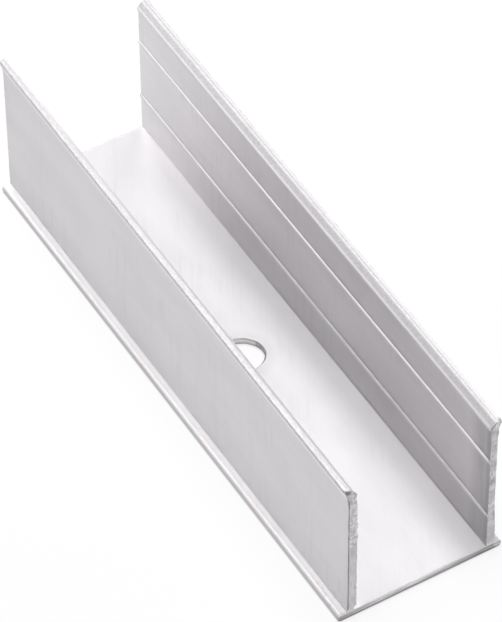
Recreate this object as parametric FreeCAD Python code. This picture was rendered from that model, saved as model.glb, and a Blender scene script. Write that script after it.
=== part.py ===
import FreeCAD, Part
import math
import os

# Short length of extruded aluminium channel, sawn from a long bar.
# Two thin upright walls stand on a base strip that reaches out past them on both sides.
# One plain screw hole goes through the middle of the base.
# Frame: X along the extrusion, Y across it, Z up. The origin is the middle of the
# underside, the face that lies on whatever the channel is screwed to.

# Driving dimensions, in millimetres

length = 50.0           # sawn length of the piece
trough_width = 11.35    # clear width between the walls, away from the ribs
total_height = 14.1     # underside to the flat tips of the walls
wall_thickness = 0.55
base_thickness = 0.6    # the same under the trough and in the ledges
ledge_width = 0.73      # how far the base reaches out past each wall

base_edge_radius = 0.27     # rounding along the long edges of the base
outer_foot_radius = 0.1     # fillet between a wall and its ledge
inner_foot_radius = 0.1     # fillet between a wall and the floor of the trough

flare_height = 1.1      # the tip of the wall leans outward over this height
flare_reach = 0.28      # and by this much
flare_radius = 4.0      # soft bend where the lean begins
tip_radius = 0.1        # outer edge of the tip
bevel_width = 0.33      # lead-in on the inner side of the tip

rib_depth = 0.13        # fine ribs along the inner faces, which grip what is pushed in
rib_top = 0.08          # height of a rib's short upper face
rib_slope = 0.45        # height of its long lower face
mouth_rib_drop = 0.54   # top rib, at the foot of the lead-in, below the tips
upper_rib_height = 10.05  # the other two ribs, above the underside
lower_rib_height = 4.15

hole_diameter = 3.6     # clearance for a 3.5 mm screw

# Rounded outlines


def rounded_outline(corners):
    """Closed wire in the YZ plane from corners (y, z, radius).

    A rounding takes up less than half of each run beside it, so neighbours never meet.
    """
    points = [FreeCAD.Vector(0, y, z) for y, z, radius in corners]
    count = len(points)
    arcs = []
    for i in range(count):
        radius = corners[i][2]
        here = points[i]
        back = points[i - 1] - here
        ahead = points[(i + 1) % count] - here
        if radius == 0:
            arcs.append((here, None, here))
            continue
        half_angle = back.getAngle(ahead) / 2
        room = 0.49 * min(back.Length, ahead.Length)
        setback = min(radius / math.tan(half_angle), room)
        back.normalize()
        ahead.normalize()
        inward = (back + ahead).normalize()
        reach = setback * (1 - math.sin(half_angle)) / math.cos(half_angle)
        arcs.append((here + back * setback, here + inward * reach, here + ahead * setback))
    edges = []
    for i in range(count):
        start, middle, end = arcs[i]
        if middle:
            edges.append(Part.Arc(start, middle, end).toShape())
        edges.append(Part.LineSegment(end, arcs[(i + 1) % count][0]).toShape())
    return Part.Wire(edges)


# Section, right half, from the base edge up the outside and down the inside

inner_face = trough_width / 2
outer_face = inner_face + wall_thickness
base_edge = outer_face + ledge_width
tip_outer = outer_face + flare_reach
tip_inner = inner_face + bevel_width


def rib(crest_height):
    """The corners of one rib, from the top down."""
    return [
        (inner_face, crest_height + rib_top, 0),
        (inner_face - rib_depth, crest_height, 0),
        (inner_face, crest_height - rib_slope, 0),
    ]


right_half = [
    (base_edge, 0, base_edge_radius),
    (base_edge, base_thickness, base_edge_radius),
    (outer_face, base_thickness, outer_foot_radius),
    (outer_face, total_height - flare_height, flare_radius),
    (tip_outer, total_height, tip_radius),
    (tip_inner, total_height, 0),
]
right_half += rib(total_height - mouth_rib_drop)
right_half += rib(upper_rib_height)
right_half += rib(lower_rib_height)
right_half.append((inner_face, base_thickness, inner_foot_radius))

# The left half is the mirror image, in reverse order, so that the outline closes

left_half = [(-y, z, radius) for y, z, radius in reversed(right_half)]

# Extrusion of the section, centred along X

outline = rounded_outline(right_half + left_half)
bar = Part.Face(outline).extrude(FreeCAD.Vector(length, 0, 0))
bar.translate(FreeCAD.Vector(-length / 2, 0, 0))

# Screw hole through the base

drill_start = FreeCAD.Vector(0, 0, -base_thickness)
drill = Part.makeCylinder(hole_diameter / 2, base_thickness * 3, drill_start)
channel = bar.cut(drill)

os.makedirs("parts", exist_ok=True)
channel.exportStep("parts/channel_section.step")

box = channel.BoundBox
print("valid", channel.isValid(), "solids", len(channel.Solids))
print("size %.3f x %.3f x %.3f mm" % (box.XLength, box.YLength, box.ZLength))
print("volume %.1f cubic mm" % channel.Volume)
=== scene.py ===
# %% [markdown]
# A short length of extruded aluminium channel
#
# The object is one piece of metal: a U-shaped bar, pressed hot through a die, sawn to length and punched once.
# Its shape is simple, so the whole likeness lies in small things: edges that are rounded by a few hundredths of a
# millimetre, ribs as fine as a hair, sawn ends with their burrs, and metal that shows its surroundings softly.
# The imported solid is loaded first, because its box fixes the sizes below.

import math

import bmesh
import bpy
from mathutils import Matrix, Vector, noise


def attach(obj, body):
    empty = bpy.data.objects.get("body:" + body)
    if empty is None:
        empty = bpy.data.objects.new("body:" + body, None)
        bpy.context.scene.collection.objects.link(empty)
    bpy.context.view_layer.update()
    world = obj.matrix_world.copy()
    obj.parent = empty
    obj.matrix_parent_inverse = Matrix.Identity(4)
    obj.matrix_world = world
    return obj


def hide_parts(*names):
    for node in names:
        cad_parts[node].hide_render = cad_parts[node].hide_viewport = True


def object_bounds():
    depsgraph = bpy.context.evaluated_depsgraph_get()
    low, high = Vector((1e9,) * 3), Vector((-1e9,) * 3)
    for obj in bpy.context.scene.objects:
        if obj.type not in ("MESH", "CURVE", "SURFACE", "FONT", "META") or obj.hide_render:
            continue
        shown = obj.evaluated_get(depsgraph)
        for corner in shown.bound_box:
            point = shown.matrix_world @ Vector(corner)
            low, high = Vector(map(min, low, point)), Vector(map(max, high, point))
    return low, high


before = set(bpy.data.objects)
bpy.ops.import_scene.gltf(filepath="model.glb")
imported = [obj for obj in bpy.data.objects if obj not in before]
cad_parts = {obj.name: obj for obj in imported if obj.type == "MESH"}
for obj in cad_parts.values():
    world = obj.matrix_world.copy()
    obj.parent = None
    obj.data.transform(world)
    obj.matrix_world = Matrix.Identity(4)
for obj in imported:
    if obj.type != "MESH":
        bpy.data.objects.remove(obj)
cad_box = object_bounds()

MM = 0.001
length, base_width, total_height = cad_box[1] - cad_box[0]
print("bar of %.1f x %.1f x %.1f mm" % (length / MM, base_width / MM, total_height / MM))

# %% [markdown]
# The camera comes next, since every later choice is judged through it. It stands well back with a long lens, as for a
# catalogue picture, and looks down the channel from one end. It orbits the origin by azimuth and elevation, rolls by
# half a degree, and is then slid sideways and up until the bar sits in the frame.

# %% Camera
FRAME_WIDTH, FRAME_HEIGHT = 502, 622
SENSOR = 36.0
FOCAL_PIXELS = 4644.3

azimuth, elevation, roll = 59.489, 47.900, -0.554  # degrees
distance = 350.45 * MM
slide_right, slide_up = 0.607 * MM, 3.827 * MM

camera_data = bpy.data.cameras.new("camera")
camera_data.sensor_width = SENSOR
camera_data.lens = FOCAL_PIXELS * SENSOR / max(FRAME_WIDTH, FRAME_HEIGHT)
camera_data.clip_start = 0.01
camera = bpy.data.objects.new("camera", camera_data)
bpy.context.scene.collection.objects.link(camera)

turn = (
    Matrix.Rotation(math.radians(azimuth), 4, "Z")
    @ Matrix.Rotation(math.radians(90 - elevation), 4, "X")
    @ Matrix.Rotation(math.radians(roll), 4, "Z")
)
camera.matrix_world = turn @ Matrix.Translation((slide_right, slide_up, distance))
bpy.context.scene.camera = camera
print("lens %.1f mm" % camera_data.lens)

# %% [markdown]
# A channel like this comes out of a die, so it is made here as the die makes it: draw the opening of the die, then
# push it along X. Only the right half is drawn. Each corner has a rounding, and the smallest ones stand for the
# edges that no die keeps perfectly sharp. They matter more than their size suggests, because each one catches a
# thin line of light along the whole bar.

# %% Sizes of the section
wall = 0.55 * MM
base = 0.6 * MM
ledge = 0.73 * MM
flare_height, flare_reach, flare_bend = 1.1 * MM, 0.36 * MM, 4.0 * MM
tip_round = 0.2 * MM
bevel_width, bevel_round = 0.39 * MM, 0.12 * MM
rib_depth, rib_slope = 0.13 * MM, 0.45 * MM
rib_heights = (total_height - 0.54 * MM, 10.02 * MM, 4.15 * MM)
rib_tops = (0.14 * MM, 0.1 * MM, 0.1 * MM)

outer_face = base_width / 2 - ledge
inner_face = outer_face - wall
base_nose = 0.27 * MM
foot = 0.06 * MM
edge_break = 0.04 * MM
rib_round = 0.09 * MM

half_section = [
    (0, 0, 0),
    (base_width / 2, 0, base_nose),
    (base_width / 2, base, base_nose),
    (outer_face, base, foot),
    (outer_face, total_height - flare_height, flare_bend),
    (outer_face + flare_reach, total_height, tip_round),
    (inner_face + bevel_width, total_height, bevel_round),
]
for crest, rib_top in zip(rib_heights, rib_tops):
    half_section += [
        (inner_face, crest + rib_top, edge_break),
        (inner_face - rib_depth, crest, rib_round),
        (inner_face, crest - rib_slope, edge_break),
    ]
half_section += [(inner_face, base, foot), (0, base, 0)]
print("corners in the half section:", len(half_section))

# %% [markdown]
# bmesh starts from those few corners. A vertex bevel turns each one into an arc: its offset is the distance from the
# corner to where the arc starts, which is the radius divided by the tangent of half the angle between the two sides.
# Mirroring gives the left half, and one fill closes the outline. In the photograph the two tips differ a little: the
# left lead-in starts further out, and the right tip leans out further. Both are moved by about a tenth of a
# millimetre.

# %% Draw the section
ARC_SEGMENTS = 6
TINY = 1e-7
lead_in_low, lead_in_high = 13.0 * MM, 13.9 * MM
left_lead_in_shift = 0.08 * MM
right_tip_slope = 0.1


def rounding_setback(before, here, after, radius):
    """How far along its sides a rounding of this radius starts from its corner."""
    angle = (before - here).angle(after - here)
    return radius / math.tan(angle / 2)


bm = bmesh.new()
left_end = -length / 2
outline = [bm.verts.new((left_end, y, z)) for y, z, radius in half_section]
for a, b in zip(outline, outline[1:]):
    bm.edges.new((a, b))
setbacks = {}
for i in range(1, len(outline) - 1):
    radius = half_section[i][2]
    setbacks[outline[i]] = rounding_setback(outline[i - 1].co, outline[i].co, outline[i + 1].co, radius)
for corner, setback in setbacks.items():
    bmesh.ops.bevel(
        bm, geom=[corner], offset=setback, offset_type="OFFSET", affect="VERTICES",
        segments=ARC_SEGMENTS, profile=0.5, material=-1,
    )
bmesh.ops.mirror(bm, geom=bm.verts[:] + bm.edges[:], axis="Y", merge_dist=1e-6)
bmesh.ops.dissolve_verts(bm, verts=[v for v in bm.verts if abs(v.co.y) < TINY])
for v in bm.verts:
    if lead_in_low < v.co.z < lead_in_high and -outer_face < v.co.y < 0:
        v.co.y -= left_lead_in_shift
    if v.co.z > lead_in_low and v.co.y > outer_face:
        v.co.y += right_tip_slope * (v.co.z - lead_in_low)
bmesh.ops.edgenet_fill(bm, edges=bm.edges[:])
print("section: %d points, %.2f square mm" % (len(bm.verts), sum(f.calc_area() for f in bm.faces) / MM**2))

# %% [markdown]
# One extrusion turns the section into the bar. Each face then gets the number of its finish: the two ends are sawn,
# and everything else is skin. The wall of the hole gets the third number when it is made.

# %% Push it along X
section = bm.faces[:]
pushed = bmesh.ops.extrude_face_region(bm, geom=section, use_keep_orig=True)
far_points = [g for g in pushed["geom"] if isinstance(g, bmesh.types.BMVert)]
bmesh.ops.translate(bm, verts=far_points, vec=(length, 0, 0))
bmesh.ops.recalc_face_normals(bm, faces=bm.faces[:])
SKIN, SAWN, PUNCHED = 0, 1, 2
for f in bm.faces:
    f.material_index = SAWN if abs(f.normal.x) > 0.9 else SKIN
print("bar: %d faces, %.1f cubic mm" % (len(bm.faces), bm.calc_volume() / MM**3))

# %% [markdown]
# The screw hole is punched, not bored: the punch draws the edge down a little, cuts a smooth band, and tears the
# last part, which leaves a rough and slightly wider mouth below. A boolean would give only a plain cylinder, so the
# hole is woven into the mesh. Four cuts frame a square on the floor and one on the underside, both squares are
# taken out, and their borders get as many points as the hole's rings, so that a bridge joins them cleanly.

# %% Punch the hole
HOLE_POINTS = 192
hole_radius = 1.8 * MM
patch = 2.4 * MM  # half the side of the square round the hole


def with_their_edges(faces):
    """A list of these faces with their edges and their corners, each of them once."""
    geometry = {}
    for f in faces:
        geometry.update(dict.fromkeys([f, *f.edges, *f.verts]))
    return list(geometry)


def slice_faces(faces, place, direction):
    """Cut these faces by a plane, and leave everything in one piece."""
    bmesh.ops.bisect_plane(bm, geom=with_their_edges(faces), dist=1e-8, plane_co=place, plane_no=direction)


def floor_and_underside():
    """The level faces of the base, inside the trough and below it."""
    level = [f for f in bm.faces if abs(f.normal.z) > 0.99]
    return [f for f in level if -TINY < f.calc_center_median().z < base + TINY]


for side in (-1, 1):
    slice_faces(bm.faces[:], (side * patch, 0, 0), (1, 0, 0))
for side in (-1, 1):
    slice_faces(floor_and_underside(), (0, side * patch, 0), (0, 1, 0))

patches = []
for f in floor_and_underside():
    middle = f.calc_center_median()
    if abs(middle.x) < patch and abs(middle.y) < patch:
        patches.append(f)
print("patches to take out:", len(patches))

borders = []
for f in patches:
    height = f.calc_center_median().z
    bmesh.ops.bisect_edges(bm, edges=f.edges[:], cuts=HOLE_POINTS // 4 - 1)
    borders.append((height, f.edges[:], f))
bmesh.ops.delete(bm, geom=[f for height, edges, f in borders], context="FACES_ONLY")
print("points on a border:", [len(edges) for height, edges, f in borders])

# %% [markdown]
# Each ring of the wall is a circle with its own height and radius. The numbers below are millimetres and read from
# the floor down: the edge drawn down by the punch, the smooth band, and the torn part. The punch also left the hole
# a little out of round, so each ring stands in from its circle on some sides. There, a number says how far, a pair
# of numbers towards which side, and the last one how narrow the place is.

# %% Rings of the hole
below_floor = [
    (0, 0.12), (0, 0.095), (0.01, 0.068), (0.028, 0.052), (0.055, 0.042),
    (0.09, 0.034), (0.14, 0.026), (0.2, 0.017), (0.3, 0.006), (0.38, 0),
]
above_underside = [(0.18, 0.005), (0.12, 0.02), (0.06, 0.04), (0.02, 0.05), (0, 0.065)]
hole_rings = [(base - depth * MM, hole_radius + wider * MM) for depth, wider in below_floor]
hole_rings += [(height * MM, hole_radius + wider * MM) for height, wider in above_underside]
print("rings of the hole:", len(hole_rings))

DRAWN_IN = ((0.3, (1, 0), 2), (0.05, (0.5, 0.87), 2))
TORN_IN = ((0.05, (-0.64, 0.77), 4), (0.07, (0.62, 0.79), 8))
UNEVEN = 0.02 * MM
RIM_DEPTH = 0.2 * MM


def stands_in(outward, sides):
    """How far the wall stands in from its circle at this place, in metres."""
    return sum(far * MM * max(0, outward.x * x + outward.y * y) ** narrow for far, (x, y), narrow in sides)


def pull_ring(edges, height, radius):
    """Pull a new ring of points out of this one, onto a circle of its own height and radius."""
    made = bmesh.ops.extrude_edge_only(bm, edges=edges)["geom"]
    points = {g for g in made if isinstance(g, bmesh.types.BMVert)}
    below_rim = min(max((base - height) / RIM_DEPTH, 0), 1)
    for v in points:
        outward = Vector((v.co.x, v.co.y, 0)).normalized()
        rim_in, torn_in = stands_in(outward, DRAWN_IN), stands_in(outward, TORN_IN)
        uneven = UNEVEN * below_rim * noise.noise(outward * 4.0 + Vector((0, 0, height / MM * 2)))
        v.co = outward * (radius - rim_in - torn_in * below_rim + uneven) + Vector((0, 0, height))
    new_edges = [g for g in made if isinstance(g, bmesh.types.BMEdge) and points.issuperset(g.verts)]
    return new_edges, [g for g in made if isinstance(g, bmesh.types.BMFace)]


hole_faces = []
under_border, ring = [edges for height, edges, f in sorted(borders, key=lambda border: border[0])]
for height, radius in hole_rings:
    ring, faces = pull_ring(ring, height, radius)
    hole_faces += faces
flat_faces = 2 * HOLE_POINTS  # the first two rings of faces lie on the floor and keep the skin's finish
for f in hole_faces[flat_faces:]:
    f.material_index = PUNCHED
bmesh.ops.bridge_loops(bm, edges=ring + under_border)
print("faces round the hole:", len(hole_faces))
bmesh.ops.recalc_face_normals(bm, faces=bm.faces[:])
print("open edges:", sum(not e.is_manifold for e in bm.edges))

# %% [markdown]
# A saw leaves an end that is only nearly flat, and it drags the metal a little: a fine ragged edge all round, and a
# lip, the burr, where its teeth leave a wall. Such an end needs points to move, so the last millimetre of the bar
# is cut across in a few steps, and then level and upright into a fine grid.

# %% Grid at the sawn ends
end_steps = [step * MM for step in (0.03, 0.08, 0.16, 0.3, 0.5, 0.75, 1.0)]
grid_step = 0.085 * MM
half_length = length / 2


def cut_on(geometry, place, direction):
    """Cut everything in this list by a plane, and give back the list with the new pieces in it."""
    made = bmesh.ops.bisect_plane(bm, geom=geometry, dist=0.004 * MM, plane_co=place, plane_no=direction)
    return made["geom"]


for step in end_steps:
    for side in (-1, 1):
        slice_faces(bm.faces[:], (side * (half_length - step), 0, 0), (1, 0, 0))

last_step = half_length - end_steps[-1]
end_zone = with_their_edges([f for f in bm.faces if abs(f.calc_center_median().x) > last_step])
for i in range(1, int(total_height / grid_step) + 1):
    end_zone = cut_on(end_zone, (0, 0, i * grid_step), (0, 0, 1))
half_columns = int(base_width / 2 / grid_step)
for i in range(-half_columns, half_columns + 1):
    end_zone = cut_on(end_zone, (0, (i + 0.5) * grid_step, 0), (0, 1, 0))
print("faces with the grids:", len(bm.faces))

# %% [markdown]
# The blade is described by how deep it cut at each place of the end, always inward from the CAD length. Fine noise
# makes the grain, bands across the wall are the steps in which the blade moved on, and the near end of the left wall
# has what the photograph shows there: it sits a little back, its upper half is torn, and its outer top corner is
# chipped. Noise here comes from a fixed pattern, so every run gives the same ends.

# %% How deep the saw cut
END_TAPER = 0.35 * MM
TORN_FROM, TORN_FULLY = 7.6, 7.72
CHIP_Y, CHIP_Z, CHIP_SIZE = -6.45, 14.0, 0.3


def smooth_step(value, low, high):
    t = min(max((value - low) / (high - low), 0.0), 1.0)
    return t * t * (3 - 2 * t)


def grain(y, z, size, layer):
    """Even noise between -1 and 1 with features of about this size."""
    return noise.noise(Vector((y / size, z / size, layer)))


def on_left_side(y):
    """One on the left wall and the ledge beside it, zero in the trough and right of it, from millimetres."""
    return smooth_step(-y, 5.3, 5.6)


def saw_depth(side, y, z):
    """Depth of the cut below the plane of the end, in metres. Inside, the numbers are millimetres."""
    y, z = y / MM, z / MM
    layer = 7.3 + 11 * side
    bands = 0.5 + 0.5 * noise.noise(Vector((z / 0.9, y / 6.0, layer + 3)))
    depth = 0.012 + 0.010 * grain(y, z, 0.16, layer) + 0.022 * bands
    if side > 0:
        on_left_wall = on_left_side(y) * smooth_step(z, 0.5, 2.0)
        torn = smooth_step(z, TORN_FROM, TORN_FULLY) * on_left_wall
        depth += 0.055 * on_left_wall
        depth += torn * (0.03 * abs(grain(y, z, 0.12, 41)) + 0.03 * abs(grain(y, z, 0.3, 43)))
        depth += 0.08 * smooth_step(CHIP_SIZE - math.hypot(y - CHIP_Y, z - CHIP_Z), 0, 0.2)
    else:
        depth += 0.02 * on_left_side(y)
    return depth * MM


print("deepest at the near end: %.3f mm" % (max(saw_depth(1, -6.0 * MM, z * 0.1 * MM) for z in range(141)) / MM))

# %% [markdown]
# The ragged edge is a push along the side's own direction, strongest at the very end and gone a tenth of a
# millimetre behind it. At the near end the blade also ran from left to right, towards +Y, and took the metal along.
# Where its teeth came in, on the left side of each wall, the edge is rolled over. Where they left, it stands out as a
# burr: on the whole inner edge of the left wall, and on the right wall only at its foot. Each of these is a function
# of the height alone, and the inside of each works in millimetres.

# %% How far the edges are dragged
def sideways(v):
    """The direction in which the bar's skin faces at this point, without the end face."""
    total = Vector()
    for f in v.link_faces:
        if abs(f.normal.x) < 0.5:
            total += f.normal * f.calc_area()
    total.x = 0
    return total.normalized() if total.length > 0 else total


def burr_reach(z):
    """How far the left wall's inner edge is pushed into the trough at this height, in metres."""
    z = z / MM
    reach = 0.26 + 0.08 * smooth_step(z, 10.5, 11.5)
    reach += 0.06 * noise.noise(Vector((z / 0.9, 5.1, 0))) + 0.05 * noise.noise(Vector((z / 0.2, 9.4, 0)))
    return reach * smooth_step(z, 0.65, 1.1) * (1 - smooth_step(z, 13.2, 13.9)) * MM


def tip_line(z):
    """Where the broken tip of the left wall ends at this height, as a place in Y."""
    z = z / MM
    return (-6.0 + 0.74 * (14.1 - z) + 0.03 * noise.noise(Vector((z / 0.15, 4.4, 0)))) * MM


def roll_over(z):
    """How far the left side of a wall is rolled over towards +Y at this height, in metres."""
    z = z / MM
    rolled = 0.08 + 0.03 * noise.noise(Vector((z / 1.1, 8.8, 0)))
    return rolled * smooth_step(z, 0.7, 1.6) * MM


def foot_reach(z):
    """How far the right wall's outer edge is dragged out near its foot, in metres."""
    z = z / MM
    return (0.13 + 0.02 * noise.noise(Vector((z / 0.4, 2.7, 0)))) * (1 - smooth_step(z, 1.5, 5.5)) * MM


print("burr half-way up: %.2f mm" % (burr_reach(total_height / 2) / MM))

# %% [markdown]
# Every point near an end then gets its own move, and all points move together afterwards, so that no move changes
# what the next one measures. How far behind the end a move still reaches is called its run, and across goes from 0
# at the left face of a wall to 1 at its right face. Every point is kept inside the box of the CAD.

# %% Drag the edges of the ends
ARRIS = 0.1 * MM
BURR_RUN = 0.28 * MM
ROLL_RUN = 0.4 * MM
tip_height = 1.1 * MM
right_tip_back = 0.12 * MM
right_roll = 0.25  # as a share of the left wall's
right_ribs_flattened = 0.5
wall_zone = inner_face - rib_depth * 1.2  # a little more than the ribs reach into the trough

bm.normal_update()
moves = {}
for v in bm.verts:
    behind = half_length - abs(v.co.x)
    if behind > end_steps[-1] - 0.01 * MM:
        continue
    side = 1 if v.co.x > 0 else -1
    y, z = v.co.y, v.co.z
    move = Vector((-side * saw_depth(side, y, z) * max(0, 1 - behind / END_TAPER), 0, 0))
    near_edge = max(0, 1 - behind / ARRIS)
    ragged = 0.010 + 0.022 * grain(y / MM, z / MM, 0.22, 60 + side)
    move += sideways(v) * ragged * near_edge * MM
    near_end = max(0, 1 - behind / BURR_RUN) ** 1.5
    if side > 0 and y < -wall_zone and z > base:
        across = min(max((y + outer_face) / wall, 0), 1)
        past_face = max(0, y + inner_face)
        flattened = 0.4 if z > rib_heights[2] + rib_slope else 0.9  # the burr wipes out the lowest rib most
        reached = y + burr_reach(z) * across**2 - flattened * past_face
        if z > total_height - tip_height:
            reached = min(reached, tip_line(z))
        move.y += (reached - y) * near_end
    if side > 0 and y > inner_face and z > base * 0.9:
        across = min(max((y - inner_face) / wall, 0), 1)
        past_wall = smooth_step(y, outer_face, outer_face + 0.1 * MM)
        move.y -= right_tip_back * past_wall * smooth_step(z, 12.9 * MM, 13.3 * MM) * near_end
        move.y += foot_reach(z) * across**2 * near_end * (1 - smooth_step(y, outer_face, outer_face + 0.2 * MM))
    if side > 0 and z > base and abs(y) > wall_zone:
        from_left = y + outer_face if y < 0 else y - inner_face
        rolled = max(0, 1 - behind / ROLL_RUN) ** 2 * (1 - smooth_step(from_left, 0.15 * MM, wall))
        move.y += roll_over(z) * rolled * (1 if y < 0 else right_roll)
        if y > 0:
            move.y += right_ribs_flattened * max(0, inner_face - y) * near_end
    moves[v] = move
for v, move in moves.items():
    v.co += move
    v.co.x = min(max(v.co.x, -half_length), half_length)
    v.co.y = min(max(v.co.y, -base_width / 2), base_width / 2)
    v.co.z = min(max(v.co.z, 0), total_height)
print("points moved at the ends:", len(moves))

# %% [markdown]
# Smooth shading with sharp edges above 40 degrees keeps the roundings soft and the sawn ends crisp. Weighted normals
# keep the large flat faces flat beside the narrow roundings. The bar then rides on the part's only body, and it
# stands for the plain solid.

# %% Finish the object
SHARP_ANGLE = math.radians(40)
bar_mesh = bpy.data.meshes.new("channel_bar")
bm.to_mesh(bar_mesh)
bm.free()
bar = bpy.data.objects.new("channel_bar", bar_mesh)
bpy.context.scene.collection.objects.link(bar)
for polygon in bar_mesh.polygons:
    polygon.use_smooth = True
bar_mesh.set_sharp_from_angle(angle=SHARP_ANGLE)
even = bar.modifiers.new("even shading", "WEIGHTED_NORMAL")
even.keep_sharp = True

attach(bar, "root")
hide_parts("channel_section")
print("finished faces:", len(bar_mesh.polygons))

# %% [markdown]
# Three finishes meet on this bar. Its skin is as it left the die, called mill finish: pale, satin, with lines along X
# and soft clouds where the metal was handled. The ends show sawn metal, greyer and torn. The hole shows a punched
# wall. Nodes are added by small helpers, so that each step of a material reads as one line.

# %% Helpers for nodes
def feed(tree, node, inputs):
    """Give each named input of a node a number, or the socket that feeds it."""
    for name, value in inputs.items():
        if isinstance(value, bpy.types.NodeSocket):
            tree.links.new(value, node.inputs[name])
        else:
            node.inputs[name].default_value = value


def put(tree, kind, inputs, **options):
    """Add a node, set its options, and feed its inputs."""
    made = tree.nodes.new("ShaderNode" + kind)
    for name, value in options.items():
        setattr(made, name, value)
    feed(tree, made, inputs)
    return made


def calc(tree, operation, first, second):
    return put(tree, "Math", {0: first, 1: second}, operation=operation).outputs[0]


def product(tree, first, *others):
    """Masks or tones multiplied with each other."""
    for other in others:
        first = calc(tree, "MULTIPLY", first, other)
    return first


def share(tree, first, part, second):
    """This part of the first value, and the rest of the second."""
    return calc(tree, "ADD", calc(tree, "MULTIPLY", first, part), calc(tree, "MULTIPLY", second, 1 - part))


def spread(tree, value, low, high, new_low=0, new_high=1):
    """Take a value from one range to another, with soft ends, and never past them."""
    inputs = {"Value": value, "From Min": low, "From Max": high, "To Min": new_low, "To Max": new_high}
    return put(tree, "MapRange", inputs, interpolation_type="SMOOTHSTEP").outputs["Result"]


def cloud(tree, place, stretch, scale, detail=3.0, turn=0.0):
    """Noise about 1 / scale metres across, pulled out along an axis where stretch is below one."""
    turned = put(tree, "Mapping", {"Vector": place, "Rotation": (0, 0, math.radians(turn))})
    mapped = put(tree, "Mapping", {"Vector": turned.outputs["Vector"], "Scale": stretch})
    inputs = {"Vector": mapped.outputs["Vector"], "Scale": scale, "Detail": detail, "Roughness": 0.55}
    return put(tree, "TexNoise", inputs).outputs["Fac"]


def new_group(name, inputs, outputs):
    """An empty node group with named sockets, and its two end nodes."""
    group = bpy.data.node_groups.new(name, "ShaderNodeTree")
    for socket, kind in inputs:
        group.interface.new_socket(socket, in_out="INPUT", socket_type="NodeSocket" + kind)
    for socket, kind in outputs:
        group.interface.new_socket(socket, in_out="OUTPUT", socket_type="NodeSocket" + kind)
    return group, group.nodes.new("NodeGroupInput"), group.nodes.new("NodeGroupOutput")


# %% [markdown]
# The die leaves lines that run the whole length. Noise that is stretched hugely along X gives them on every face at
# once, because it varies only across the bar. Slower noise gives the clouds, and very fine noise the satin grain.
# Rubs are short scratches in patches, askew on the floor of the trough and upright on the walls, and specks are tiny
# bright nicks.

# %% Group: die lines
die_lines, start, end = new_group(
    "die_lines",
    [("Place", "Vector")],
    [("Lines", "Float"), ("Clouds", "Float"), ("Grain", "Float"), ("Rubs", "Float"), ("Specks", "Float")],
)
place = start.outputs["Place"]
coarse = cloud(die_lines, place, (0.012, 1, 1), 2600, 4.0)
fine = cloud(die_lines, place, (0.004, 1, 1), 11000, 2.0)
clouds = cloud(die_lines, place, (0.4, 1, 1), 330, 4.0)
specks = cloud(die_lines, place, (0.7, 1, 1), 6500)

floor_rubs = cloud(die_lines, place, (0.05, 1, 1), 2600, turn=30)
wall_rubs = cloud(die_lines, place, (1, 0.2, 0.06), 2600)
on_floor = spread(die_lines, put(die_lines, "SeparateXYZ", {0: place}).outputs["Z"], 0.8 * MM, 0.65 * MM)
rubs = put(die_lines, "Mix", {0: on_floor, 2: wall_rubs, 3: floor_rubs}, data_type="FLOAT").outputs[0]
rub_patches = spread(die_lines, cloud(die_lines, place, (1, 1, 1), 240, 2.0), 0.45, 0.62, 0.15, 1)

feed(die_lines, end, {
    "Lines": spread(die_lines, share(die_lines, coarse, 0.6, fine), 0.35, 0.65),
    "Clouds": spread(die_lines, clouds, 0.3, 0.7),
    "Grain": cloud(die_lines, place, (0.5, 1, 1), 9000, 2.0),
    "Rubs": product(die_lines, spread(die_lines, rubs, 0.45, 0.7), rub_patches),
    "Specks": spread(die_lines, specks, 0.4, 0.66),
})
print("nodes for the die lines:", len(die_lines.nodes))

# %% [markdown]
# Torn metal is mottled: some grains of it are smeared flat and bright, others are pulled out and leave dark pits.
# The sawn ends and the hole share this, each with its own size of grain.

# %% Group: torn metal
torn_metal, start, end = new_group(
    "torn_metal", [("Place", "Vector"), ("Size", "Float")], [("Mottle", "Float"), ("Pits", "Float")]
)
sized = {0: start.outputs["Place"], "Scale": start.outputs["Size"]}
place = put(torn_metal, "VectorMath", sized, operation="SCALE").outputs["Vector"]
feed(torn_metal, end, {
    "Mottle": spread(torn_metal, cloud(torn_metal, place, (1, 1, 1), 1.0), 0.3, 0.7),
    "Pits": spread(torn_metal, cloud(torn_metal, place, (1, 1, 1), 2.6), 0.58, 0.7),
})
print("nodes for the torn metal:", len(torn_metal.nodes))

# %% [markdown]
# A metal shows what stands round it more than its own colour. In the photograph each face of the bar therefore has a
# tone of its own, and so has each edge. The lamps below give a part of that. The rest is painted light and shade: the
# colour is multiplied by soft tones that follow the place on the bar. The helpers here make such tones and masks.
# They take places in millimetres, along X, Y, Z or another measure that a material adds.

# %% Helpers for colours
def grey(value):
    """A grey with a faint warm violet cast, which this aluminium has in the photograph."""
    return (value, value * 0.979, value, 1)


def neutral(value):
    return (value, value, value, 1)


def blend(tree, factor, first, second):
    """Mix two colours. The colour sockets of a Mix node are its seventh and eighth."""
    return put(tree, "Mix", {0: factor, 6: first, 7: second}, data_type="RGBA").outputs[2]


def multiply(tree, first, second):
    inputs = {0: 1.0, 6: first, 7: second}
    return put(tree, "Mix", inputs, data_type="RGBA", blend_type="MULTIPLY").outputs[2]


def shade(tree, colour, mask, tone):
    """Multiply a colour by a tone where the mask is one, and leave it alone where the mask is zero."""
    if not isinstance(tone, bpy.types.NodeSocket):
        tone = neutral(tone)
    return multiply(tree, colour, blend(tree, mask, neutral(1), tone))


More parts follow.
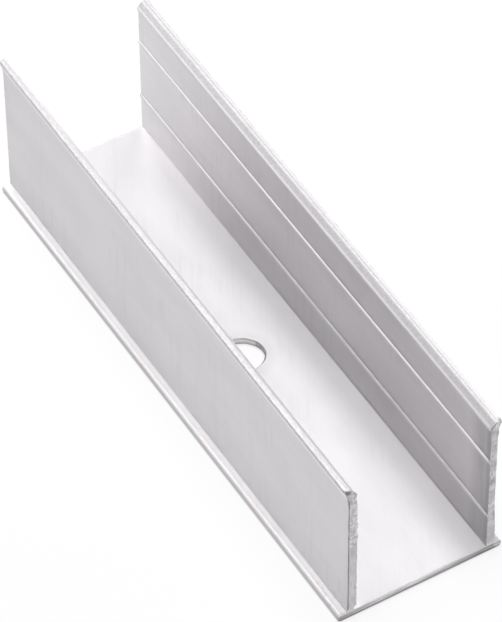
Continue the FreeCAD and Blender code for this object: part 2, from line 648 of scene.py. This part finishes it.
# %% Helpers for metals
def new_metal(name, colour, roughness):
    """A metal in its own material: its tree, its shader, the place on the bar, and that place by its parts."""
    material = bpy.data.materials.new(name)
    material.use_nodes = True
    tree = material.node_tree
    shader = tree.nodes["Principled BSDF"]
    feed(tree, shader, {"Base Color": colour, "Metallic": 1.0, "Roughness": roughness})
    place = tree.nodes.new("ShaderNodeTexCoord").outputs["Object"]
    parts = put(tree, "SeparateXYZ", {0: place}).outputs
    bar_mesh.materials.append(material)
    return tree, shader, place, {axis: parts[axis] for axis in "XYZ"}


def use_group(tree, group, inputs):
    return put(tree, "Group", inputs, node_tree=group).outputs


def fade(tree, at, along, begins, ends, low, high):
    """A value that goes softly from low to high between two places."""
    return spread(tree, at[along], begins * MM, ends * MM, low, high)


def where(tree, at, *steps):
    """A mask of steps that count together. Each says along what, where it begins and where it is full."""
    return product(tree, *[fade(tree, at, along, begins, full, 0, 1) for along, begins, full in steps])


def ramp(tree, value, low, high, stops):
    """A grey that follows a value through stops, each a share of the way from low to high and a tone."""
    way = put(tree, "MapRange", {"Value": value, "From Min": low, "From Max": high}).outputs["Result"]
    made = put(tree, "ValToRGB", {"Fac": way})
    made.color_ramp.interpolation = "B_SPLINE"
    elements = made.color_ramp.elements
    elements.remove(elements[1])
    for i, (at_share, tone) in enumerate(stops):
        stop = elements.new(at_share) if i > 0 else elements[0]
        stop.position = at_share
        stop.color = neutral(tone)
    return made.outputs["Color"]


def bump(tree, height, strength, depth):
    """Fine relief from a height between zero and one, this many millimetres deep."""
    return put(tree, "Bump", {"Height": height, "Strength": strength, "Distance": depth * MM}).outputs["Normal"]


# %% [markdown]
# The skin starts with the marks of the die. Then the trough gets painted light and shade: one tone along the bar for
# its floor, and one up the inside of the walls, with the ribs and the bevel apart. The floor gets a painted highlight
# towards the walls and at its near left corner, and painted shade round the hole and right in the corners.

# %% Mill finish: the skin
tree, shader, place, at = new_metal("mill_finish", grey(0.7), 0.55)
marks = use_group(tree, die_lines, {"Place": place})
skin = blend(tree, share(tree, marks["Lines"], 0.4, marks["Clouds"]), grey(0.755), grey(0.785))
skin = blend(tree, product(tree, marks["Rubs"], 0.35), skin, grey(0.68))
at["across"] = calc(tree, "ABSOLUTE", at["Y"], 0)
flat_place = put(tree, "CombineXYZ", {0: at["X"], 1: at["Y"]}).outputs[0]
at["from_axis"] = put(tree, "VectorMath", {0: flat_place}, operation="LENGTH").outputs["Value"]
print("measures on the bar:", ", ".join(at))

# %% Mill finish: floor of the trough
# Painted light and shade along the floor: paler at both ends, darker in the middle.
tones = [(0, 0.97), (0.08, 0.96), (0.2, 0.88), (0.3, 0.84), (0.5, 0.89), (0.7, 0.93), (1, 0.93)]
along = ramp(tree, at["X"], -25 * MM, 25 * MM, tones)
# Painted highlight on the floor towards the walls.
along = shade(tree, along, where(tree, at, ("across", 4.4, 5.65)), 1.11)
# Painted shade right in the corners, lighter towards the far end.
in_corner = where(tree, at, ("across", 5.56, 5.63))
along = shade(tree, along, in_corner, fade(tree, at, "X", -20, -12, 0.95, 0.72))
# Painted shade round the hole.
along = multiply(tree, along, fade(tree, at, "from_axis", 1.9, 2.8, 0.93, 1))
# Painted highlight at the near left of the floor.
near_left = where(tree, at, ("X", 14, 24), ("Y", -2, -5))
along = shade(tree, along, near_left, 1.15)
print("nodes with the floor:", len(tree.nodes))

# %% Mill finish: inside of the walls
# Painted shade up the inside of the walls: darkest at their foot, evenly pale above half their height.
tones = [(0, 0.8), (0.2, 0.85), (0.24, 0.86), (0.28, 0.92), (0.4, 0.96), (0.55, 1), (1, 1)]
inner_light_and_shade = ramp(tree, at["Z"], 0.6 * MM, 13.5 * MM, tones)
# Towards the far end the painted shade gives way to an even tone.
inner_light_and_shade = blend(tree, where(tree, at, ("X", -10, -20)), inner_light_and_shade, neutral(0.99))
# Painted highlight on the lowest rib, brighter towards the near end.
on_rib = where(tree, at, ("across", 5.64, 5.58), ("Z", 1, 3))
inner_light_and_shade = blend(tree, on_rib, inner_light_and_shade, fade(tree, at, "X", -18, 0, 0.94, 1.1))
# Painted light and shade on the bevels: the left one paler, the right one darker.
on_bevel = where(tree, at, ("across", 5.66, 5.72), ("Z", 13.5, 13.65), ("across", 6.03, 5.93))
inner_light_and_shade = blend(tree, on_bevel, inner_light_and_shade, fade(tree, at, "Y", 0, 1, 0.95, 0.73))
below_walls = where(tree, at, ("Z", 0.66, 0.6))
inside_tone = blend(tree, below_walls, inner_light_and_shade, along)
print("nodes with the inside:", len(tree.nodes))

# %% [markdown]
# Outside, the walls have painted light and shade: painted shade towards their foot, a painted highlight where they
# lean out, and painted shade at the very top. Each ledge goes from painted shade at the wall's foot through pale to
# painted shade below its nose. The flat tips come last: the right one gets a painted highlight on its outer half and
# the left one painted shade there, since those halves face opposite sides of the studio.

# %% Mill finish: outside and tips
# Painted shade towards the foot of the outer walls.
outer_wall = ramp(tree, at["Z"], 0.6 * MM, 13.5 * MM, [(0, 0.83), (0.3, 0.88), (1, 0.88)])
# Painted highlight where the walls lean out.
outer_wall = multiply(tree, outer_wall, fade(tree, at, "Z", 13.1, 13.4, 1, 1.15))
# Painted shade at the very top of the outer walls.
outer_wall = multiply(tree, outer_wall, fade(tree, at, "Z", 13.85, 14.0, 1, 0.82))
# Painted light and shade on each ledge: shade at the wall's foot and below the nose, a highlight on the nose.
nose = product(
    tree,
    fade(tree, at, "across", 6.66, 6.78, 1.1, 0.97),
    fade(tree, at, "Z", 0.52, 0.3, 1, 0.68),
    fade(tree, at, "across", 6.4, 6.6, 1.08, 1),
    fade(tree, at, "across", 6.27, 6.36, 0.86, 1),
)
outside = where(tree, at, ("across", 6.0, 6.15))
tone = blend(tree, outside, inside_tone, blend(tree, below_walls, outer_wall, nose))

# Painted shade on the outer half of the left tip.
left_tip = where(tree, at, ("Z", 13.75, 13.95), ("Y", 0, -1))
tone = shade(tree, tone, left_tip, fade(tree, at, "across", 6.2, 6.45, 0.99, 0.85))
# Painted shade on the inner half of the right tip, a painted highlight on its outer half, darker at its outer edge.
right_tip = where(tree, at, ("Z", 13.3, 13.6), ("Y", 6.0, 6.1))
right_tip_tone = fade(tree, at, "across", 6.1, 6.35, 0.86, 1.25)
right_tip_tone = product(tree, right_tip_tone, fade(tree, at, "across", 6.48, 6.62, 1, 0.85))
tone = shade(tree, tone, right_tip, right_tip_tone)
skin = multiply(tree, skin, tone)
print("nodes with the outside:", len(tree.nodes))

# %% [markdown]
# The last part before the near end gets marks of its own. The right wall's inside gets painted shade there, with
# upright streaks in it, and the right ledge's corner gets painted shade. The corners of the left ledge and of the
# right tip are darker, the foot of the left wall's outside is smudged, and the tips are nicked all along.

# %% Mill finish: painted shade and wear near the end
tip_corner = product(tree, right_tip, where(tree, at, ("X", 24.55, 24.9)), where(tree, at, ("Y", 6.2, 6.35)))
skin = shade(tree, skin, tip_corner, 0.5)
# Painted shade on the inside of the right wall near the end, with upright streaks, deepest at the end.
streaks = spread(tree, cloud(tree, place, (1, 1, 0.08), 1100), 0.35, 0.65, 0.93, 1.05)
shade_and_streaks = product(tree, streaks, fade(tree, at, "Z", 3, 6, 0.81, 0.77), fade(tree, at, "X", 24.3, 24.8, 1, 0.87))
last_bit = where(tree, at, ("X", 22, 24.2), ("Z", 0.7, 1), ("Y", 5.6, 5.66), ("Y", 6.0, 5.9), ("Z", 13.5, 13.4))
skin = shade(tree, skin, last_bit, shade_and_streaks)
# Painted shade on the right ledge's corner at the near end.
right_ledge_corner = where(tree, at, ("X", 23.8, 24.3), ("Y", 6.2, 6.3), ("Z", 1, 0.7))
skin = shade(tree, skin, right_ledge_corner, 0.78)
left_ledge_corner = where(tree, at, ("X", 24.7, 24.95), ("Y", -6.2, -6.4), ("Z", 1, 0.7))
skin = shade(tree, skin, left_ledge_corner, 0.8)
smudges = spread(tree, cloud(tree, place, (1, 1, 0.15), 1900), 0.5, 0.7, 0, 0.4)
left_foot = where(tree, at, ("X", 19, 23), ("Z", 4, 1.5), ("Y", -6, -6.1))
skin = blend(tree, product(tree, left_foot, smudges), skin, grey(0.5))
nicks = product(tree, fade(tree, at, "Z", 13.5, 13.65, 0, 0.25), marks["Specks"])
skin = blend(tree, nicks, skin, grey(0.9))

feed(tree, shader, {
    "Base Color": skin,
    "Roughness": spread(tree, marks["Clouds"], 0, 1, 0.565, 0.535),
    "Normal": bump(tree, share(tree, marks["Lines"], 0.7, marks["Grain"]), 0.35, 0.004),
})
print("nodes for the mill finish:", len(tree.nodes))

# %% [markdown]
# The sawn ends are greyer than the skin, and their pattern follows how they were cut. Bands across each wall are the
# steps of the blade, and fine streaks run along the wall. The left wall's upper half is torn, so there the mottle
# and the pits count for more. The strip of the base has fine lines along it, a painted highlight along its upper
# edge, and a tone that changes from left to right.

# %% Sawn metal: the cut
tree, shader, place, at = new_metal("sawn_metal", grey(0.6), 0.65)
torn = use_group(tree, torn_metal, {"Place": place, "Size": 3400})
bands = spread(tree, cloud(tree, place, (0, 0.15, 1), 1100, 2.0), 0.35, 0.65)
streaks = spread(tree, cloud(tree, place, (0, 1, 0.1), 9000, 2.0), 0.3, 0.7)
spots = spread(tree, cloud(tree, place, (0, 1, 0.7), 2300, 2.0), 0.55, 0.66, 0, 0.6)
left_wall = where(tree, at, ("Y", -5.2, -5.5))
right_wall = where(tree, at, ("Y", 5.2, 5.5))

left_steps = ramp(tree, at["Z"], 0, 8 * MM, [(0, 1), (0.25, 1.06), (0.5, 1.16), (0.75, 0.86), (1, 1)])
left_cut = multiply(tree, blend(tree, streaks, grey(0.57), grey(0.74)), left_steps)
right_cut = blend(tree, share(tree, bands, 0.5, streaks), grey(0.47), grey(0.78))
even_cut = blend(tree, right_wall, left_cut, right_cut)
even_cut = blend(tree, product(tree, right_wall, spots), even_cut, grey(0.34))
print("nodes with the even cut:", len(tree.nodes))

# %% Sawn metal: the base and the torn part
tones = [(0, 0.43), (0.08, 0.56), (0.2, 0.64), (0.4, 0.75), (0.65, 0.72), (0.8, 0.4), (0.92, 0.44), (1, 0.44)]
drag_lines = spread(tree, cloud(tree, place, (0, 0.05, 1), 7500, 2.0), 0.35, 0.65)
base_cut = ramp(tree, at["Y"], -7 * MM, 7 * MM, tones)
base_cut = multiply(tree, base_cut, blend(tree, drag_lines, grey(0.78), grey(1.2)))
base_cut = multiply(tree, base_cut, fade(tree, at, "Y", 6.2, 6.5, 1, 1.5))
# Painted highlight along the upper edge of the base's cut.
base_cut = blend(tree, fade(tree, at, "Z", 0.46, 0.58, 0, 0.8), base_cut, grey(0.85))
even_cut = blend(tree, where(tree, at, ("Z", 0.7, 0.62)), even_cut, base_cut)

torn_cut = blend(tree, torn["Mottle"], grey(0.53), grey(0.84))
torn_cut = blend(tree, torn["Pits"], torn_cut, grey(0.38))
cut = blend(tree, product(tree, left_wall, where(tree, at, ("Z", 7.6, 7.9))), even_cut, torn_cut)
print("nodes with the torn part:", len(tree.nodes))

# %% [markdown]
# Then come the edges of the cut. The left wall gets a painted shadow along its outer edge, as from a tiny burr, and
# is dark towards its tip, and a line beside the right tip's bevel is dark too. Two sums make these slanting lines
# upright, so that one step can follow them.
# Three chips stay dark, and the lower edge of the base gets painted shade, except at the right ledge's nose.

# %% Sawn metal: its edges
EDGE_LEAN = 0.43 * MM
DARK_LINE_SLOPE = 0.78
cut = blend(tree, product(tree, fade(tree, at, "Z", 12.7, 13.3, 0, 0.2), left_wall), cut, grey(0.2))
at["upright"] = calc(tree, "ADD", at["Y"], fade(tree, at, "Z", 12.6, 14.1, 0, EDGE_LEAN))
# Painted shadow along the outer edge of the left wall's cut.
left_edge_shadow = where(tree, at, ("Z", 0.7, 1.0), ("upright", -6.03, -6.09))
cut = blend(tree, left_edge_shadow, cut, grey(0.3))

near_tip = product(tree, right_wall, where(tree, at, ("Z", 13.2, 13.5)))
cut = shade(tree, cut, near_tip, 1.2)
at["from_bevel"] = calc(tree, "SUBTRACT", at["Y"], calc(tree, "MULTIPLY", at["Z"], DARK_LINE_SLOPE))
beside_bevel = product(tree, near_tip, where(tree, at, ("from_bevel", -4.74, -4.86)))
cut = blend(tree, beside_bevel, cut, grey(0.34))

for chip_y, chip_z, chip_size in ((6.5, 13.98, 0.2), (-6.35, 13.9, 0.28), (-6.15, 13.8, 0.25)):
    from_chip = put(tree, "VectorMath", {0: place, 1: (half_length, chip_y * MM, chip_z * MM)}, operation="DISTANCE")
    on_chip = spread(tree, from_chip.outputs["Value"], chip_size * MM, chip_size / 2 * MM)
    cut = blend(tree, on_chip, cut, grey(0.32))

# Painted shade along the lower edge of the base, darkest at the bottom.
lower_edge_shade = fade(tree, at, "Z", 0.02, 0.25, 0.45, 1)
under_edge = calc(tree, "MAXIMUM", lower_edge_shade, fade(tree, at, "Y", 6.3, 6.6, 0, 0.9))
feed(tree, shader, {
    "Base Color": multiply(tree, cut, under_edge),
    "Normal": bump(tree, torn["Mottle"], 0.5, 0.01),
})
print("nodes for the sawn metal:", len(tree.nodes))

# %% [markdown]
# On the far side of the hole the wall has painted light and shade: a painted highlight just below its top, and
# painted shade that deepens towards its torn lower edge. On the right-hand side, where the metal broke, the whole
# height is rough and dark, with painted light that grows towards the top, and so is the rim there dark.

# %% Punched metal
tree, shader, place, at = new_metal("punched_metal", grey(0.6), 0.6)
torn = use_group(tree, torn_metal, {"Place": place, "Size": 6500})
# Painted shade low on the smooth band and a painted highlight just below the rim.
tones = [
    (0, 0.29), (0.2, 0.34), (0.28, 0.52), (0.5, 0.74), (0.65, 0.88), (0.8, 1.1), (0.9, 1.3), (0.96, 1.1), (1, 0.7),
]
scoring = spread(tree, cloud(tree, place, (1, 1, 0.05), 9000, 2.0), 0.3, 0.7)
smooth_band = multiply(tree, ramp(tree, at["Z"], 0, base, tones), blend(tree, scoring, grey(0.9), grey(1)))
mottled = blend(tree, torn["Mottle"], grey(0.3), grey(0.75))
# Painted light on the broken side, growing towards the top.
broken = multiply(tree, ramp(tree, at["Z"], 0, base, [(0, 0.36), (0.5, 0.72), (1, 1.1)]), mottled)
punched = blend(tree, where(tree, at, ("X", -1.0, -0.6)), smooth_band, broken)

on_rim = spread(tree, at["Z"], base - 0.08 * MM, base - 0.05 * MM)
at["diagonal"] = calc(tree, "ADD", at["X"], at["Y"])
near_rim = product(tree, on_rim, where(tree, at, ("diagonal", 0.3, 1.0)))
feed(tree, shader, {
    "Base Color": blend(tree, near_rim, punched, fade(tree, at, "X", 0.95, 0.1, 0.14, 0.55)),
    "Normal": bump(tree, torn["Mottle"], 0.5, 0.012),
})
print("nodes for the punched metal:", len(tree.nodes))

# %% [markdown]
# The bar lies on a plain white table. Most of the table's white is its own glow, as on a light table, and a part of
# it is paint, which darkens where the bar keeps the lamps away. So the shadow stays, but soft and pale. Right beside
# the bar the glow is dimmed too, a painted contact shadow, which draws the thin dark line where metal and table meet.
# The hole is left out of that, because the table seen through it is as bright as the rest.

# %% Floor
FLOOR_GLOW = 0.86
FLOOR_PAINT = 0.15
FLOOR_SIZE = 6.0
FLOOR_GAP = 0.02 * MM  # keeps the floor and the underside apart
CONTACT = 0.16 * MM

bpy.ops.mesh.primitive_plane_add(size=FLOOR_SIZE, location=(0, 0, -FLOOR_GAP))
floor = bpy.context.object
floor.name = "floor"
floor_paint = bpy.data.materials.new("floor_paint")
floor_paint.use_nodes = True
tree = floor_paint.node_tree
# Painted contact shadow: the glow is dimmed where the bar stands close.
open_sky = put(tree, "AmbientOcclusion", {"Distance": CONTACT}).outputs["AO"]
floor_place = tree.nodes.new("ShaderNodeTexCoord").outputs["Object"]
from_hole = put(tree, "VectorMath", {0: floor_place}, operation="LENGTH").outputs["Value"]
open_sky = calc(tree, "MAXIMUM", open_sky, spread(tree, from_hole, 3 * MM, 4 * MM, 0.8, 0))
feed(tree, tree.nodes["Principled BSDF"], {
    "Base Color": neutral(FLOOR_PAINT),
    "Roughness": 1.0,
    "Specular IOR Level": 0.0,
    "Emission Color": neutral(1),
    "Emission Strength": spread(tree, open_sky, 0.5, 0.95, 0.5 * FLOOR_GLOW, FLOOR_GLOW),
})
floor.data.materials.append(floor_paint)
print("floor of %.0f m, %.2f mm below the bar" % (FLOOR_SIZE, FLOOR_GAP / MM))

# %% [markdown]
# Satin metal shows its lamps as wide soft patches, so the lamps make the picture. The main ones hang behind the far
# end, one half-way up and one nearly overhead: they brighten the floor of the trough and the far part of the right
# wall, and leave its near part grey. Weaker ones on the left light the outer wall, and two low ones on the right
# light the bar from there. All of them are large and close, like the softboxes of a table-top studio, and all face
# the bar. Each line below gives a lamp's name, its height and its direction in degrees, and its watts.

# %% Light
LAMP_DISTANCE = 0.32
LAMP_SIZE = 0.19
WORLD_GLOW = 0.05
lamps = [
    ("behind", 50, 182, 0.286),
    ("above", 80, 182, 0.480),
    ("left", 40, 247, 0.215),
    ("left_low", 14, 205, 0.255),
    ("right_low", 14, 120, 0.355),
    ("right_near_low", 14, 60, 0.423),
]
for name, lamp_elevation, lamp_azimuth, watts in lamps:
    lamp = bpy.data.lights.new(name, "AREA")
    lamp.shape = "DISK"
    lamp.size = LAMP_SIZE
    lamp.energy = watts
    holder = bpy.data.objects.new(name, lamp)
    bpy.context.scene.collection.objects.link(holder)
    aim = Matrix.Rotation(math.radians(lamp_azimuth), 4, "Z") @ Matrix.Rotation(math.radians(-lamp_elevation), 4, "Y")
    stand = aim @ Vector((LAMP_DISTANCE, 0, 0))
    holder.location = stand
    holder.rotation_euler = (-stand).to_track_quat("-Z", "Y").to_euler()
print("lamps:", len(lamps))

world = bpy.data.worlds.new("studio")
world.use_nodes = True
background = world.node_tree.nodes["Background"]
feed(world.node_tree, background, {"Color": neutral(1), "Strength": WORLD_GLOW})
bpy.context.scene.world = world
bpy.context.scene.view_settings.view_transform = "Standard"
